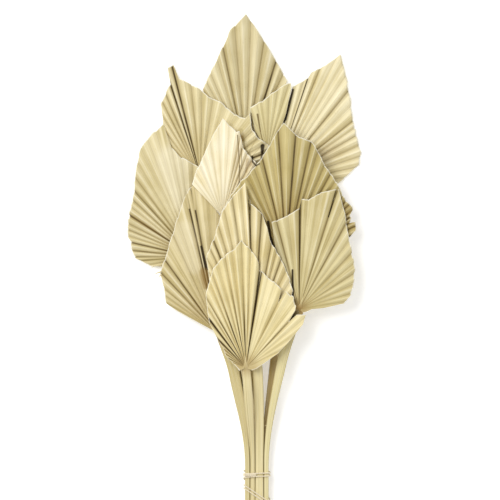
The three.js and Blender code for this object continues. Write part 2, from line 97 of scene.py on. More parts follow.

# %% [markdown]
# Every leaf is the same thing, a fan of straight folds on a flat stem, yet no two are alike. Sculpted by
# hand, its shape would be hard to read or change. So a table holds what sets one leaf apart, and the same
# functions build all eleven. Angles are in degrees, clockwise from the tips' direction, lengths in mm:
#
# - hub: where its folds meet; slope and bend: how it leans and curves down; depth: how deep its folds get
#   for each mm away from the hub; rim: angles, with the distance to the cut edge there;
# - valleys: angles of the folds that dip, with how dark the painted shade in each one is; splits: torn
#   folds, with where the tear starts and its width; lip: the blade rises behind the hub; softer: where the
#   painted shade of the folds fades;
# - the spots: brown stains together with patches of painted shade, and painted shadow in the gaps between
#   leaves, each at an angle and distance, with width, length and strength;
# - strokes: marks from point to point, many of them painted shadow in slits and gaps, with half their
#   width, strength and tone;
# - stem: its x and row in the bundle, its width there and at the blade, its cut end, and for some a way
#   point, the stretch that rests on the table and an inset from the hub;
# - light, deep and stalk: its colours; browned: how brown its stem is at the hub.

# %% The four leaves at the back
# A hooked gap in painted shadow, between the pale leaf and its neighbours, runs over three of them.
HOOKED_GAP_SHADOW = [
    ((2.8, 382.2), (3.2, 375.6), 1.5, 0.9, GAP_SHADOW),
    ((3.2, 375.6), (7.2, 371.0), 1.5, 0.9, GAP_SHADOW),
    ((7.2, 371.0), (11.4, 373.2), 1.5, 0.8, GAP_SHADOW),
]
LEAVES = [dict(
    name="leaf_top", slot="olive_leaf", hub=(-4.8, 380.4, 4.5), slope=(0, -0.003), depth=0.03,
    rim=[(-50, 40), (-42, 62), (-36, 82), (-32, 99), (-19.5, 117), (-7, 155), (0, 174), (8, 145), (18, 121),
        (28, 106), (30.4, 81), (37, 57), (46, 44)],
    valleys={-46: 0.35, -39: 0.35, -32.5: 0.35, -27.3: 0.35, -22.5: 0.35, -16.3: 0.35, -11.7: 0.8,
        -4.9: 0.5, 2: 0.45, 8.8: 0.6, 17.2: 1, 24: 0.5, 31: 0.35, 38: 0.35},
    stem=dict(x=4.8, row=0, width=9.4, broad=9.6, end=-46, way=(4.8, 100), rest=(42, 72)),
    light=(228, 216, 174), deep=(192, 176, 124),
), dict(
    name="leaf_upper_right", slot="cream_leaf", hub=(26.4, 348, 4.5), slope=(-0.012, 0), depth=0.026,
    rim=[(8, 44), (9.6, 79), (12, 121), (18.6, 136), (19.2, 144), (24, 158), (27.8, 178), (33, 162),
        (41.6, 141), (51.6, 125), (62.4, 116), (70, 114), (77, 107), (84.5, 88), (92, 74), (98, 48)],
    valleys={10.8: 1.6, 13.5: 0.2, 16.9: 0.35, 19.3: 1, 22.4: 0.6, 26.8: 0.2, 30.3: 0.2, 34: 0.2, 39: 0.7,
        45: 0.2, 51: 0.7, 55.5: 0.3, 59.5: 0.5, 65.6: 0.4, 72: 0.35, 78: 0.35, 85: 0.35, 92: 0.35},
    stains_and_shade_spots=[(60, 72, 9, 24, 0.3)], deep_shade=[(10.6, 92, 1.7, 32, 1)],
    strokes=[((50.9, 462.2), (42.6, 426.6), 2.7, 1, GAP_SHADOW)],
    stem=dict(x=16.2, row=0, width=9.4, broad=9.6, end=-52, way=(34.5, 150)),
    light=(244, 233, 194), deep=(214, 197, 140),
), dict(
    name="leaf_upper_left", slot="cream_leaf", hub=(-58.8, 355.2, 8.2), slope=(0.08, 0.01), depth=0.03,
    rim=[(-52, 44), (-42, 66), (-35, 80), (-28, 103), (-19.7, 117), (-17.8, 120), (-16.8, 140), (-13.6, 142),
        (-12.4, 124), (-1.3, 109), (5.6, 99), (14.6, 95.5), (21.8, 90.5), (32.4, 87.4), (36, 89.8),
        (36.6, 98.3), (45, 86.5), (53.1, 84.5), (58, 87.5), (63, 91), (70, 91), (76, 90), (82, 85),
        (87, 66)],
    valleys={-46: 0.35, -42.8: 0.35, -37: 0.35, -31.2: 0.4, -26.5: 0.5, -22.5: 0.6, -18: 1, -14.4: 1,
        -6: 0.5, 0.6: 0.4, 8.6: 0.35, 18.8: 0.1, 28: 0, 37: 0, 47: 0.4, 55: 0.5, 62: 0.3, 68: 0.9, 74: 0.6},
    stains_and_shade_spots=[(44, 66, 4, 9, 0.35), (48, 57, 3, 4, 0.55), (-30, 40, 18, 26, 0.12)],
    deep_shade=[(76, 86, 12, 5, 0.8), (-17.2, 60, 0.5, 50, 0.5)],
    strokes=[
        ((-11.0, 412.8), (-8.2, 402.6), 4.2, 0.4, OLIVE),
        ((-9.6, 405.6), (-8.2, 402.0), 2.3, 0.6, STAIN_AND_SHADE),
        ((-7.0, 402.6), (-6.5, 392.4), 1.4, 0.5, OLIVE),
        ((-6.5, 392.4), (1.8, 382.2), 1.4, 0.5, OLIVE),
        ((-1.4, 387.0), (8.8, 405.8), 0.8, 0.5, OLIVE),
        ((3.0, 382.8), (12.6, 393.8), 0.8, 0.4, OLIVE),
        ((15.1, 394.8), (14.6, 387.6), 3.4, 1, GAP_SHADOW),
        ((14.6, 386.4), (13.4, 380.4), 2.0, 0.8, GAP_SHADOW),
        ((-9.4, 124.8), (-5.6, 92.4), 3.2, 0.85, GAP_SHADOW),
        *HOOKED_GAP_SHADOW,
    ],
    stem=dict(x=-0.6, row=1, width=9.2, broad=9.4, end=-50, way=(-9.5, 112)),
    light=(234, 221, 176), deep=(198, 182, 126),
), dict(
    name="leaf_top_small", slot="olive_leaf", hub=(21.6, 387.6, 9.3), depth=0.022,
    rim=[(-32, 30), (-22, 58), (-7, 62), (3, 70), (12, 81), (18.2, 88), (20, 82), (25.5, 50), (29, 28)],
    valleys={-28: 0.2, -23: 0.3, -13: 0.2, -7: 0.2, 1: 0.35, 9: 0.35, 17: 0.35, 25: 0.35},
    strokes=[
        ((0.6, 433.8), (4.1, 417.6), 1.8, 0.95, GAP_SHADOW),
        ((4.1, 417.6), (13.8, 398.4), 0.8, 0.6, VALLEY_SHADE),
        ((9.1, 432.6), (12.4, 412.8), 1.6, 0.85, VALLEY_SHADE),
        ((12.4, 412.8), (16.1, 396.0), 0.9, 0.7, VALLEY_SHADE),
    ],
    stem=dict(x=9.0, row=1, width=9.2, broad=9.4, end=-44, way=(9.4, 125)),
    light=(226, 214, 164), deep=(196, 180, 122),
)]
print("leaves at the back:", [leaf["name"] for leaf in LEAVES])

# %% [markdown]
# The four in the middle each lie a few mm above their neighbours, and so drop a soft shadow on them.

# %% The four leaves in the middle
LEAVES += [dict(
    name="leaf_left", slot="cream_leaf", hub=(-67.2, 261.6, 12.3), slope=(0.115, 0.01), depth=0.026,
    rim=[(-111, 36), (-101, 54), (-91, 71), (-84, 76), (-77, 78), (-73, 84), (-64, 89), (-57, 93),
        (-44, 105), (-32, 131), (-26, 146.5), (-19, 156), (-15.4, 161), (-13, 165), (-11.6, 134), (-8, 122),
        (2.5, 109), (13, 92), (22, 66), (28, 36)],
    valleys={-106: 0.35, -100: 0.35, -94: 0.6, -90: 0.7, -84: 0.8, -76.3: 0.9, -72: 0.35, -67.5: 0.6,
        -63: 0.6, -56.5: 1, -51.5: 0.35, -47: 0.6, -42: 0.8, -36.5: 0.5, -31: 0.25, -26.5: 0.2, -21.5: 0.2,
        -17: 0.2, -12: 0.2, -7: 0.2, -1: 0.35, 6: 0.35, 14: 0.35, 22: 0.35},
    stains_and_shade_spots=[(-56.5, 62, 2.5, 30, 0.4), (-50, 26, 40, 22, 0.25)],
    strokes=[((-92.0, 376.0), (-80.0, 330.0), 26.0, 0.22, PALE)],
    stem=dict(x=-1.4, row=2, width=8.6, broad=9.6, end=-47, way=(-17, 110)),
    light=(228, 215, 171), deep=(190, 174, 116),
), dict(
    name="leaf_left_low", slot="cream_leaf", hub=(-38.4, 170.4, 18.5), slope=(0.09, 0.035),
        bend=(0, -0.00012), depth=0.02,
    rim=[(-61.8, 37), (-61.4, 59), (-60.2, 72.7), (-50.2, 84.6), (-46.6, 92.4), (-44.4, 99.6),
        (-41.7, 102.6), (-35, 110), (-20.7, 142), (-15.7, 160), (-12.9, 172), (-9.5, 181), (-5, 165),
        (1.4, 140), (5, 90)],
    valleys={-60: 0.35, -54.5: 0.35, -49.8: 0.5, -43.4: 0.8, -36: 0.9, -30: 0.15, -24.6: 0.4, -19.3: 0.15,
        -13.4: 1, -10.4: 1, -4: 0.2, 2: 0.4},
    stains_and_shade_spots=[(-14, 65, 4, 12, 0.5), (-40, 30, 25, 24, 0.2)],
    strokes=[
        ((-77.3, 338.4), (-73.4, 320.4), 2.2, 0.8, CREAM),
        ((-69.4, 349.0), (-66.0, 319.0), 2.4, 0.8, CREAM),
        ((-80.0, 292.0), (-68.0, 250.0), 17.0, 0.13, PALE),
        ((-52.2, 247.2), (-58.4, 274.0), 2.6, 0.95, GAP_SHADOW),
        ((-55.4, 244.0), (-53.0, 226.0), 6.5, 0.5, STAIN_AND_SHADE),
    ],
    stem=dict(x=-3.1, row=3, width=5.6, broad=13, end=-52, way=(-18.5, 120), inset=(4.5, -3)),
    light=(226, 211, 163), deep=(188, 170, 110), stalk=(212, 196, 136),
), dict(
    name="leaf_pale", slot="pale_leaf", hub=(-32.4, 309.6, 25), slope=(-0.06, 0), bend=(0, -0.00006),
        depth=0.02,
    rim=[(-43.5, 54), (-39, 57), (-26.6, 67), (-15.7, 80), (-7, 99), (0, 118), (4.4, 109.5), (8.7, 103.2),
        (10.8, 105.7), (13.5, 95), (16.8, 85.2), (24, 79.5), (31.4, 76), (34.6, 73), (38, 44)],
    valleys={-38: 0.1, -31: 0.1, -24: 0.15, -17: 0.1, -9.5: 0.15, -2.2: 0.1, 5.2: 0.1, 12.2: 0.5, 15.7: 0.5,
        21: 0.5, 27: 0.5, 33: 0.6},
    stains_and_shade_spots=[(14, 70, 3, 30, 0.3), (24, 50, 8, 30, 0.25), (28, 72, 3, 5, 0.6)],
    strokes=[
        ((-14.9, 407.4), (-12.4, 368.4), 0.9, 0.85, VALLEY_SHADE),
        ((-12.4, 370.8), (-13.0, 352.2), 1.4, 0.7, VALLEY_SHADE),
        ((-13.0, 352.2), (-17.6, 340.8), 0.8, 0.5, VALLEY_SHADE),
        ((-10.3, 391.2), (-9.8, 367.2), 0.9, 0.6, VALLEY_SHADE),
        ((-2.9, 378.0), (-4.6, 363.6), 2.6, 0.45, STAIN_AND_SHADE),
        *HOOKED_GAP_SHADOW,
    ],
    stem=dict(x=8.4, row=2, width=9, broad=9.4, end=-50),
    light=(252, 243, 214), deep=(232, 214, 160), stalk=(224, 210, 166),
), dict(
    name="leaf_right_middle", slot="olive_leaf", hub=(43.2, 262.8, 29), bend=(0, -0.00006), depth=0.03,
    rim=[(-57, 88), (-56, 94), (-42, 98.5), (-32, 104.5), (-25, 107), (-13.6, 122), (-8, 135), (-3.6, 151),
        (-1, 159.6), (2.3, 151), (6, 143.5), (12.3, 141), (17, 131), (23, 119), (38.5, 104.5), (43.3, 99.6),
        (47.4, 97), (51.9, 99.4), (55.5, 97.4), (57.3, 92), (60.2, 90), (62.6, 87.2), (63.6, 92),
        (66.8, 91.8), (70.2, 88.4), (72.7, 82.6), (74.5, 75), (80, 50)],
    valleys={-50: 0.35, -44: 0.35, -38: 0.35, -32: 0.35, -26.5: 0.5, -20: 0.5, -12.8: 0.9, -8: 0.25,
        -3.3: 0.9, 4.5: 1, 12.6: 0.9, 17.6: 0.5, 23: 0.5, 28.4: 0.8, 33.5: 0.35, 38: 0.35, 42.5: 0.35,
        47: 0.8, 51: 0.8, 55: 0.8, 58.8: 0.9, 62.7: 0.9, 67: 0.9, 72: 0.9, 77: 0.35},
    stains_and_shade_spots=[(4, 30, 60, 34, 0.35), (60, 92, 14, 16, 0.3)],
    strokes=[
        ((21.6, 303.6), (25.0, 284.4), 2.2, 1, GAP_SHADOW),
        ((25.0, 284.4), (32.4, 261.0), 2.2, 1, GAP_SHADOW),
        *HOOKED_GAP_SHADOW[1:],
    ],
    stem=dict(x=17.9, row=2, width=8.6, broad=8.4, end=-49, way=(27, 125)),
    # its stalk is brown, darkened further by painted shade
    light=(209, 193, 134), deep=(168, 149, 82), stalk=(164, 136, 68),
)]
print("leaves so far:", len(LEAVES), "the highest hub at", LEAVES[-1]["hub"][2], "mm")

# %% [markdown]
# The last three show the most. At two of them the hub shows as well, where the blade turns up behind the
# stem in a small lip, and their tears are open enough to see the leaf below.

# %% The three leaves in front
LEAVES += [dict(
    name="leaf_right", slot="cream_leaf", hub=(58.8, 199.2, 36), bend=(-0.00006, -0.0001), depth=0.024,
    rim=[(-165, 4), (-150, 17), (-130, 19), (-110, 14), (-80, 9), (-50, 11), (-34, 17), (-27, 40), (-25, 60),
        (-19.5, 90), (-17.5, 109), (-10.6, 111), (0.4, 121), (1, 131), (4.7, 132), (10.3, 141.6), (18, 151),
        (25.6, 127), (33.5, 106.5), (44.5, 91), (54, 83), (66, 71), (75, 63.5), (82.6, 55), (83.9, 45),
        (87.5, 30), (90, 16), (115, 8.5), (132, 6.4)],
    valleys={-120: 0.35, -60: 0.35, -22: 0.1, -14.4: 0.8, -7: 0.3, 0.5: 1, 5: 0.08, 11: 0.12, 17.6: 0.8,
        23: 0.12, 28.7: 0.8, 36: 0.25, 43: 0.5, 50: 0.2, 57: 0.5, 65: 0.3, 73: 0.35, 81: 0.35, 90: 0.35},
    splits=[(0.5, 62, 0.8), (17.6, 116, 1)], lip=True, stains_and_shade_spots=[(0, 5, 200, 8, 0.6)],
    deep_shade=[(-26, 55, 7, 60, 1), (-140, 14, 35, 14, 1)],
    strokes=[
        ((103.2, 340.8), (93.8, 309.6), 1.5, 0.95, GAP_SHADOW),
        ((51.1, 211.2), (50.8, 246.0), 2.3, 1, GAP_SHADOW),
    ],
    stem=dict(x=19.6, row=3, width=5.6, broad=12, end=-51, way=(37.5, 133)),
    light=(222, 209, 159), deep=(186, 168, 107), stalk=(225, 212, 154), browned=0.9,
), dict(
    name="leaf_centre", slot="cream_leaf", hub=(3.6, 164.4, 39.6), bend=(0, -0.00004), depth=0.026,
    rim=[(-38, 84), (-30, 112), (-22, 127), (-17, 142), (-13.8, 156), (-8.4, 172), (-2.6, 187), (-1.2, 161),
        (4, 151), (7.2, 134), (9.8, 119), (16.4, 106), (24.3, 93.5), (40, 75), (50, 52)],
    valleys={-34: 0.35, -29.7: 0.35, -25.6: 0.6, -21.7: 0.9, -17: 0.5, -12.5: 0.35, -7.8: 0.7, -4.6: 0.35,
        -1.5: 1, 4.7: 0.9, 11: 0.8, 15.2: 0.5, 19.6: 0.8, 26: 0.35, 33: 0.35, 41: 0.35},
    splits=[(-1.5, 128, 0.9)],
    stem=dict(x=11.3, row=3, width=9.8, broad=12.5, end=-48, way=(9.3, 123)),
    light=(242, 228, 182), deep=(208, 188, 126), stalk=(228, 213, 158),
), dict(
    name="leaf_front", slot="cream_leaf", hub=(-4.8, 129.6, 46.2), bend=(-0.00008, -0.0001), depth=0.032,
    rim=[(-115, 9.3), (-95, 10.5), (-76, 14.7), (-64.6, 22.4), (-59, 29.5), (-51, 34), (-45, 48),
        (-39.4, 70), (-29.4, 98), (-23.5, 111), (-18, 125), (-12.4, 134), (-9, 138.5), (-4.9, 143.7),
        (-2, 152.5), (0.6, 144.7), (3.8, 137.5), (7, 127), (8, 118), (11.5, 114), (17.4, 108), (24.2, 102.8),
        (26.5, 87), (27.5, 103.1), (33.7, 101.4), (36.1, 97.9), (39.2, 94.2), (40.8, 89.3), (43, 74.5),
        (43.7, 86.9), (48.7, 95.2), (53, 85.1), (57.9, 62.8), (65.9, 42.9), (77, 22.5), (95, 13),
        (114, 8.3)],
    valleys={-69: 0.8, -62: 0.9, -56: 0.8, -50: 0.8, -45: 1.2, -37.3: 1.2, -32.5: 0.55, -28.7: 1, -24: 0.55,
        -19.7: 1, -15: 0.55, -10.6: 0.95, -6.6: 0.5, -2: 0.95, 2.5: 0.6, 8.6: 1.25, 14: 0.04, 19.5: 0.06,
        25.8: 0.6, 32: 0.04, 38: 0.08, 43.2: 0.8, 50: 0.15, 57: 0.15, 64: 0.3},
    splits=[(8.6, 42, 0.9)], lip=True, softer=(35, 115),
    stains_and_shade_spots=[(-10, 8, 200, 8, 0.45), (-52, 40, 8, 26, 0.25)],
    stem=dict(x=3.1, row=3, width=5.6, broad=10.6, end=-46, way=(-1.5, 88)),
    light=(244, 230, 180), deep=(212, 194, 132), stalk=(222, 206, 150), browned=0.5,
)]
print("leaves:", len(LEAVES), "folds that dip:", sum(len(leaf["valleys"]) for leaf in LEAVES))

# %% [markdown]
# The folds run straight from the hub to the edge, so one number per angle gives them: below 0 in a
# valley, above 0 on a ridge, and small where folds are crowded or pale. A blade's height is that number
# times a depth that grows with the distance from the hub, on top of its lean and bend.

# %% Folds and height of a blade
FULL_PLEAT = 5
CORNER_REACH = 0.8
FOLD_SOFTENING = 220
FULL_RELIEF_CREASE = 0.5
LEAST_RELIEF = 0.06


def fold_lines(leaf):
    """Angles of the folds, their heights, and how dark the painted shade in each one is."""
    torn = [split[0] for split in leaf.get("splits", ())]
    valleys, dark = list(leaf["valleys"]), list(leaf["valleys"].values())
    gaps = np.diff(valleys).tolist()
    relief = [LEAST_RELIEF + (1 - LEAST_RELIEF) * min(1, d / FULL_RELIEF_CREASE) for d in dark]
    folds = []

    def add(angle, side, gap, darkness):
        corner = [a for a, _ in leaf["rim"] if abs(a - angle) < CORNER_REACH and angle not in torn]
        folds.append((corner[0] if corner else angle, side * min(1, gap / FULL_PLEAT), darkness))

    add(valleys[0] - gaps[0] / 2, relief[0], gaps[0], 0)
    for i, valley in enumerate(valleys):
        gap = gaps[min(i, len(gaps) - 1)]
        add(valley, -relief[i], min(gap, gaps[max(i - 1, 0)]), dark[i])
        add(valley + gap / 2, (relief[i] + relief[min(i + 1, len(valleys) - 1)]) / 2, gap, 0)
    return np.array(folds).T


def from_hub(angle, radius):
    """How far to the right of the hub and past it a place on a blade is."""
    return radius * np.sin(np.radians(angle)), radius * np.cos(np.radians(angle))


def blade_height(leaf, angle, radius, side):
    """Height of the upper face of a blade, in mm."""
    dx, dy = from_hub(angle, radius)
    fold = side * leaf["depth"] * radius / (1 + radius / FOLD_SOFTENING)
    slope, bend = leaf.get("slope", (0, 0)), leaf.get("bend", (0, 0))
    return leaf["hub"][2] + slope[0] * dx + slope[1] * dy + bend[0] * dx**2 + bend[1] * dy**2 + fold


def rim_radius(leaf, angles):
    """Distance from the hub to the cut edge, which is straight between the rim's points."""
    rim_angles, rim_reach = np.array(leaf["rim"], float).T
    x, y = from_hub(rim_angles, rim_reach)
    i = np.clip(np.searchsorted(rim_angles, angles), 1, len(rim_angles) - 1)
    dx, dy = x[i] - x[i - 1], y[i] - y[i - 1]
    s, c = from_hub(angles, 1)
    return (x[i - 1] * dy - y[i - 1] * dx) / (s * dy - c * dx)


folds_of_front = fold_lines(LEAVES[-1])
print("front leaf: folds", folds_of_front.shape[1], "tip at", rim_radius(LEAVES[-1], np.array([-2.8])))

# %% [markdown]
# A blade could be a curved sheet with a bump map for its pleats, but then its outline and its shadows
# would stay flat. Here the pleats are real: columns of points run from the hub to the rim, close
# together at each fold so that the fold has a small round.

# %% Columns of a blade
COLUMN_STEP = 1.0
FOLD_ROUND = 0.3


def blade_angles(leaf, fold_at):
    """The angles of the columns."""
    rim_angles = [a for a, _ in leaf["rim"]]
    first, last = rim_angles[0], rim_angles[-1]
    marks = {round(float(a), 3) for a in [*rim_angles, *fold_at] if first <= a <= last}
    for a in [f + d for f in fold_at for d in (-FOLD_ROUND, FOLD_ROUND)]:
        if first < a < last and min(abs(a - m) for m in marks) > FOLD_ROUND / 2:
            marks.add(round(float(a), 3))
    marks = sorted(marks)
    angles = []
    for a, b in zip(marks, marks[1:]):
        steps = max(1, math.ceil((b - a) / COLUMN_STEP))
        angles += [a + (b - a) * i / steps for i in range(steps)]
    return np.array([*angles, last])


print("front leaf: columns", len(blade_angles(LEAVES[-1], folds_of_front[0])))

# %% [markdown]
# Scissors cut the dried leaf in its folds, so the rim steps from facet to facet and dips in each valley.
# A noise texture can't move an edge; seeded random numbers can, and give the same leaf on every run.

# %% The cut edge
RIM_STEP = 0.42
RIM_NOTCH = 0.9
NOTCH_WIDTH = 1.2
MOST_SPREAD = 2


def facet_values(rng, angles, fold_at):
    """One seeded random number per facet, halfway between two facets on the fold itself."""
    values = rng.normal(0, 1, len(fold_at) + 1)
    left = values[np.searchsorted(fold_at, angles, "left")]
    right = values[np.searchsorted(fold_at, angles, "right")]
    return np.clip((left + right) / 2, -MOST_SPREAD, MOST_SPREAD)


def cut_edge(leaf, angles, fold_at, valley_gap, rng):
    """Distance from the hub to the trimmed edge at each column."""
    reach = rim_radius(leaf, angles)
    in_valley = np.exp(-(np.radians(valley_gap) * reach / NOTCH_WIDTH) ** 2)
    notch = RIM_NOTCH * in_valley * rng.random(len(angles))
    return reach + RIM_STEP * facet_values(rng, angles, fold_at) - notch


print("the edge steps by up to", 2 * MOST_SPREAD * RIM_STEP, "mm")

# %% [markdown]
# A torn fold has its column of points twice. The two copies part more and more towards the rim.

# %% Torn folds
TEAR_SPREAD = 3.0
TEAR_OVERSHOOT = 12


def tear_folds(leaf, angles, reach, radius):
    """Angles of all points left and right of the tears, and for each torn column its open rows."""
    to_left = np.repeat(angles[:, None], radius.shape[1], 1)
    to_right = to_left.copy()
    torn = {}
    for middle, start, width in leaf.get("splits", ()):
        k = int(np.abs(angles - middle).argmin())
        opening = np.clip((radius - start) / (reach[k] + TEAR_OVERSHOOT - start), 0, 1) * width / 2
        pull = np.clip(1 - np.abs(angles - middle) / TEAR_SPREAD, 0, 1)[:, None] * opening
        way = np.sign(angles - angles[k])[:, None]
        to_left += pull * np.where(way == 0, -1, way)
        to_right += pull * np.where(way == 0, 1, way)
        torn[k] = radius[k] > start
    return to_left, to_right, torn


print("tears:", sum(len(leaf.get("splits", ())) for leaf in LEAVES))

# %% [markdown]
# A leaf is thin but no sheet without a back, so one closed skin has an upper face, a lower face and a
# narrow wall round its edge and along each tear.

# %% Skin of a blade
BLADE_THICKNESS = 0.55


def shell(points, faces, flat, **values):
    """A closed surface: its points in mm, its faces, which of them stay flat, and its numbers."""
    return dict(points=points, faces=faces, flat=flat, values=values)


def skin(first, second, torn):
    """Points, faces, which of them stay flat, and the grid point that each point comes from."""
    columns, rows = first.shape[:2]
    left = np.arange(columns * rows).reshape(columns, rows)
    right = left.copy()
    points, source = first.reshape(-1, 3), left.reshape(-1)
    for k, open_rows in torn.items():
        at = np.nonzero(open_rows)[0]
        right[k, at] = len(points) + np.arange(len(at))
        points = np.concatenate([points, second[k, at]])
        source = np.concatenate([source, left[k, at]])
    top = len(points)
    points = np.concatenate([points, points - [0, 0, BLADE_THICKNESS]])
    source = np.concatenate([source, source])

    a, b = right[:-1], left[1:]
    upper = np.stack([a[:, :-1], b[:, :-1], b[:, 1:], a[:, 1:]], -1).reshape(-1, 4)
    lower = upper[:, ::-1] + top

    def wall(p, q):
        return np.stack([p, q, q + top, p + top], -1).reshape(-1, 4)

    walls = [wall(a[:, -1], b[:, -1]), wall(b[:, 0], a[:, 0])]
    walls += [wall(left[0, :-1], left[0, 1:]), wall(left[-1, 1:], left[-1, :-1])]
    for k, open_rows in torn.items():
        at = np.arange(max(0, int(open_rows.argmax()) - 1), rows - 1)
        walls += [wall(left[k, at + 1], left[k, at]), wall(right[k, at], right[k, at + 1])]
    faces = np.concatenate([upper, lower, *walls])
    return points, faces, np.arange(len(faces)) >= len(upper) + len(lower), source


square = np.array([[(0, 0, 0), (0, 9, 0)], [(9, 0, 0), (9, 9, 0)]])
print("faces of a square's skin:", len(skin(square, square, {})[1]))

# %% [markdown]
# Now a whole blade. Every point also carries numbers for the finish, such as how far it is from the
# nearest valley, so that patterns follow the folds exactly.

# %% Blades
BLADE_INNER = 2.0
BLADE_ROWS = 40
RIPPLE = 0.3
RIPPLE_LENGTH = 26
RIPPLE_FULL_AT = 100
RIPPLE_MOST = 1.3
RIPPLE_TWIST = 0.08
DIP = 0.35
DIP_WIDTH = 0.8
LIP_RISE = 1.6
LIP_ANGLES = (70, 100)
NO_GAP = 1e-6
PATTERN_STEP = 7.0


def smoothstep(value, low, high):
    """0 at low and 1 at high, smooth between them; low may be the larger."""
    t = np.clip((value - low) / (high - low), 0, 1)
    return t * t * (3 - 2 * t)


def spots(table, angles, radius):
    """How deep in a list of soft spots a place on a blade is, from 0 to 1."""
    amount = np.zeros(np.broadcast(angles, radius).shape)
    for angle, far, wide, long, strength in table:
        amount = np.maximum(amount, strength * np.exp(
            -((angles - angle) / wide) ** 2 - ((radius - far) / long) ** 2))
    return amount


def pattern_place(leaf):
    """Where in the noise a leaf's patterns are taken, so that no two leaves share them."""
    return PATTERN_STEP * [entry["name"] for entry in LEAVES].index(leaf["name"])


def blade_shell(leaf, rng):
    """The pleated blade of one leaf."""
    fold_at, fold_rise, dark = fold_lines(leaf)
    angles = blade_angles(leaf, fold_at)
    dips = fold_rise < 0
    away = np.abs(angles[:, None] - fold_at[dips][None, :])
    valley_gap, crease = away.min(1), dark[dips][away.argmin(1)][:, None]
    ridge_gap = np.abs(angles[:, None] - fold_at[~dips][None, :]).min(1)
    reach = cut_edge(leaf, angles, fold_at, valley_gap, rng)
    tone = facet_values(rng, angles, fold_at)
    share = np.linspace(0, 1, BLADE_ROWS + 1)[None, :]
    radius = BLADE_INNER + (reach[:, None] - BLADE_INNER) * share
    from_valley = np.radians(valley_gap)[:, None] * radius
    to_left, to_right, torn = tear_folds(leaf, angles, reach, radius)

    side = np.interp(angles, fold_at, fold_rise)[:, None]
    wave = rng.uniform(-1, 1, 4)
    ripple = RIPPLE * np.clip(radius / RIPPLE_FULL_AT, 0, RIPPLE_MOST) * np.sin(
        radius / RIPPLE_LENGTH + 3 * wave[0] + to_left * RIPPLE_TWIST * wave[1]) * wave[2]
    dip = DIP * crease * np.exp(-from_valley / DIP_WIDTH)
    raised = LIP_RISE * smoothstep(np.abs(angles), *LIP_ANGLES)[:, None] * leaf.get("lip", False)

    def surface(turned):
        height = blade_height(leaf, turned, radius, side) + ripple - dip + raised
        dx, dy = from_hub(turned, radius)
        return np.stack([leaf["hub"][0] + dx, leaf["hub"][1] + dy, height], -1)

    points, faces, flat, source = skin(surface(to_left), surface(to_right), torn)

    def per_point(values):
        return np.broadcast_to(values, radius.shape).reshape(-1)[source]

    numbers = dict(
        valley=from_valley, crease=crease, tone=tone[:, None], edge=reach[:, None] - radius, hub=radius,
        # brown stains together with patches of painted shade
        shade=spots(leaf.get("stains_and_shade_spots", ()), angles[:, None], radius),
        # painted shadow in the gaps between leaves
        deep_shade=spots(leaf.get("deep_shade", ()), angles[:, None], radius),
        fold=(valley_gap / (valley_gap + ridge_gap + NO_GAP))[:, None], stem=0.0)
    grain = np.stack([per_point(v) for v in (angles[:, None], radius, pattern_place(leaf))], -1)
    return shell(
        points, faces.tolist(), flat, grain=grain, **{key: per_point(v) for key, v in numbers.items()})


front = blade_shell(LEAVES[-1], np.random.default_rng(1))
print("front blade:", len(front["points"]), "points,", len(front["faces"]), "faces")

# %% [markdown]
# A palm stem runs along the same line that its solid follows: out of the blade, past a way point, and
# down into its row of the bundle. At its upper end it narrows to the little tongue that shows where the
# pleats meet.

# %% The line of a stem
STEM_THICKNESS = 3.2
STEM_EASE = 0.36
STEM_SINK = 0.7
ROW_PITCH = 3.6
BOTTOM_ROW = 4.1
BUNDLE_START = 10
BUNDLE_STEPS = 14
CURVE_STEPS = 30
# how far into the blade each step is, its share of the width and of the thickness, and how proud it is
TONGUE = [(16, 0.04, 0.16, 0.1), (10, 0.16, 0.44, 0.5), (6, 0.3, 0.62, 0.7), (3, 0.55, 0.8, 0.8)]


def stem_height(leaf, y):
    """Height of the middle of a stem: level in the bundle and at its rest, then up to its blade."""
    in_bundle = BOTTOM_ROW + leaf["stem"]["row"] * ROW_PITCH
    at_hub = leaf["hub"][2] - STEM_SINK
    rest = leaf["stem"].get("rest")
    if not rest:
        return in_bundle + (at_hub - in_bundle) * smoothstep(y, BUNDLE_START, leaf["hub"][1])
    low = STEM_THICKNESS / 2
    down = in_bundle + (low - in_bundle) * smoothstep(y, BUNDLE_START, rest[0])
    up = low + (at_hub - low) * smoothstep(y, rest[1], leaf["hub"][1])
    return np.where(y < rest[1], down, up)


def bezier(start, near, far, end):
    """Points on a curve that leaves its start towards near and reaches its end from far."""
    t = np.linspace(0, 1, CURVE_STEPS + 1)[1:, None]
    return (1 - t) ** 3 * start + 3 * t * (1 - t) ** 2 * near + 3 * t**2 * (1 - t) * far + t**3 * end


def unit(vector):
    """The same direction, one long."""
    return vector / np.linalg.norm(vector, axis=-1, keepdims=True)


def stem_path(leaf):
    """The stem's line seen from above, from its tongue to its cut end, and its direction at the hub."""
    stem = leaf["stem"]
    hub = np.array(leaf["hub"][:2], float) + stem.get("inset", (0, 0))
    tie = np.array([stem["x"], BUNDLE_START], float)
    via = np.array(stem.get("way", (hub + tie) / 2), float)
    away, through = unit(via - hub), unit(tie - hub)
    reach = [np.linalg.norm(via - hub) * STEM_EASE, np.linalg.norm(tie - via) * STEM_EASE]
    path = [hub - away * step[0] for step in TONGUE] + [hub]
    path += list(bezier(hub, hub + away * reach[0], via - through * reach[0], via))
    path += list(bezier(via, via + through * reach[1], tie + [0, reach[1]], tie))
    path += [np.array([stem["x"], y]) for y in np.linspace(BUNDLE_START, stem["end"], BUNDLE_STEPS)[1:]]
    return np.array(path), away


print("front stem: its line has", len(stem_path(LEAVES[-1])[0]), "points")

# %% [markdown]
# One section is swept along that line. A circle would look like a wire and a box like a slat, so it is a
# squared circle, with fine ribs and a groove that break up the light.

